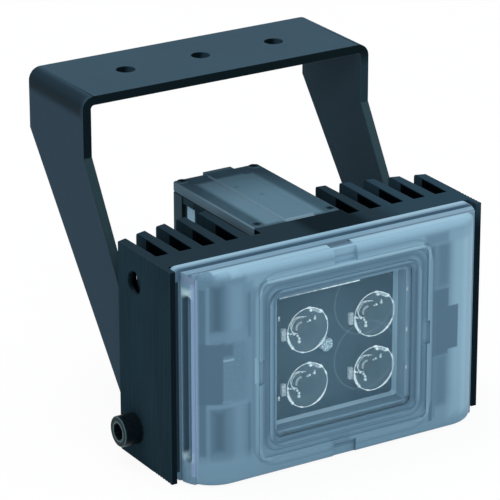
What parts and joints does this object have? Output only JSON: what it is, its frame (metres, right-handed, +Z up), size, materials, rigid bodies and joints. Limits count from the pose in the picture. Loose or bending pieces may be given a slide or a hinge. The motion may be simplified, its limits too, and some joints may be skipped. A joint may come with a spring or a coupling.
{
  "type": "floodlight",
  "caption": "Small LED floodlight with a finned black housing, frosted front cover and rear terminal box, tilting on a bent U-bracket.",
  "frame": {"origin": "centre of the middle bolt hole, at the top face of the bracket's plate, where the lamp is fixed", "axes": "+Z up, out of the mounting face; the light shines towards -Y; +X to the right seen from the front side looking along +Y"},
  "size_m": [0.1266, 0.1051, 0.1074],
  "materials": {
    "black_anodised": "black anodised, satin",
    "black_powder_coat": "fine black powder coat, satin",
    "frosted_bezel": "frosted polycarbonate with a blue tint",
    "frosted_cover": "frosted polycarbonate with a blue tint",
    "clear_window": "clear polished polycarbonate",
    "black_rubber": "matt",
    "grey_pad": "soft silicone",
    "bare_aluminium": "milled",
    "black_board": "black solder mask",
    "green_board": "green solder mask",
    "led_chip": "phosphor under a clear dome",
    "clear_lens": "clear moulded acrylic",
    "pale_spacer": "pale closed-cell foam",
    "black_screw": "black oxide",
    "bright_screw": "bright stainless steel",
    "box_plastic": "black moulded plastic",
    "frosted_lid": "frosted clear moulding",
    "component_plastic": "moulded",
    "lead_sleeve": "insulated wire",
    "gland_nylon": "black nylon"
  },
  "bodies": {
    "bracket": {"u_bracket": "black_powder_coat", "pivot_screw_left": "black_screw", "pivot_screw_right": "black_screw"},
    "head": {"board_frame": "pale_spacer", "board_screw": "bright_screw", "box_lid": "frosted_lid", "box_screw_lower": "bright_screw", "box_screw_upper": "bright_screw", "capacitor": "component_plastic", "choke": "component_plastic", "cover_base": "frosted_cover", "cover_gasket": "black_rubber", "cover_screw_bottom_left": "bright_screw", "cover_screw_bottom_right": "bright_screw", "cover_screw_top_left": "bright_screw", "cover_screw_top_right": "bright_screw", "driver_board": "green_board", "front_bezel": "frosted_bezel", "gland_body": "gland_nylon", "gland_locknut": "gland_nylon", "gland_nut": "gland_nylon", "gland_seal": "black_rubber", "heat_spreader": "bare_aluminium", "heatsink": "black_anodised", "lead_minus": "lead_sleeve", "lead_plus": "lead_sleeve", "led_board": "black_board", "led_bottom_left": "led_chip", "led_bottom_right": "led_chip", "led_top_left": "led_chip", "led_top_right": "led_chip", "lens_bottom_left": "clear_lens", "lens_bottom_right": "clear_lens", "lens_top_left": "clear_lens", "lens_top_right": "clear_lens", "lid_gasket": "black_rubber", "lid_screw_front_left": "black_screw", "lid_screw_front_right": "black_screw", "lid_screw_rear_left": "black_screw", "lid_screw_rear_right": "black_screw", "pane_seal": "black_rubber", "terminal_block": "component_plastic", "terminal_box": "box_plastic", "thermal_pad": "grey_pad", "window_pane": "clear_window"}
  },
  "joints": [
    {"name": "head_tilt", "type": "hinge", "parent": "bracket", "child": "head", "pos_m": [0, -0.05505, -0.0966], "axis": [1, 0, 0], "range_deg": [-31, 75]}
  ]
}
